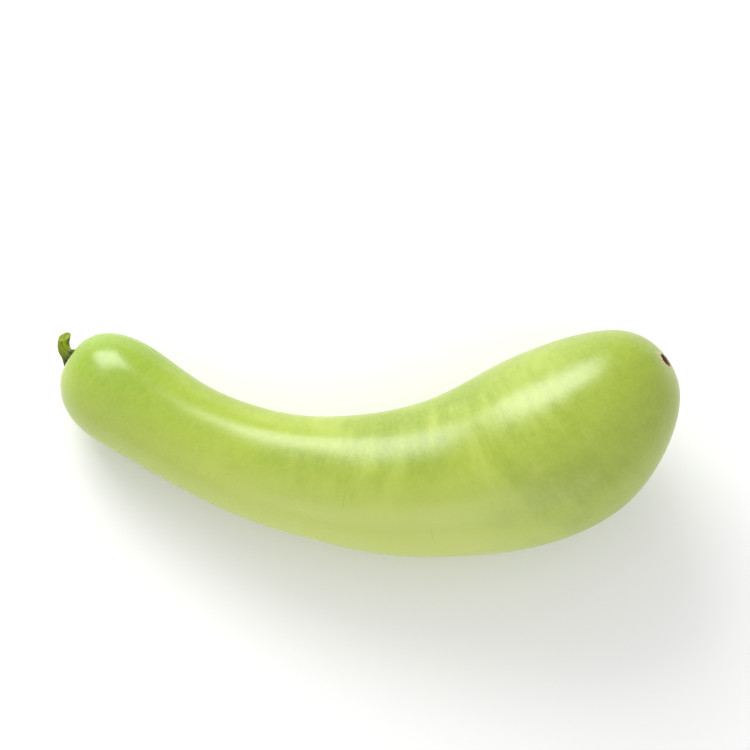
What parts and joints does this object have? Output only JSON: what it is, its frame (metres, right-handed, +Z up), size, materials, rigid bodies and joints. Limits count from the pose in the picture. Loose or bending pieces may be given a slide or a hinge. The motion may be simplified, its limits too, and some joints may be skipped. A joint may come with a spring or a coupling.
{
  "type": "bottle gourd",
  "caption": "Curved light-green bottle gourd with a slim neck, a full blossom end and a short cut stem, lying on its side.",
  "frame": {"origin": "middle of the footprint, on the surface that the gourd lies on", "axes": "+X along the gourd from the stem end to the blossom end, +Y towards the hollow side of its bend, +Z up"},
  "size_m": [0.2952, 0.108, 0.0925],
  "materials": {
    "gourd_skin": "smooth waxy vegetable skin, mottled yellow-green, soft satin gloss",
    "stem_green": "ribbed fibrous stalk, olive green going brown at the foot and at the dried cut"
  },
  "bodies": {
    "root": {"fruit": "gourd_skin", "stem": "stem_green"}
  },
  "joints": []
}
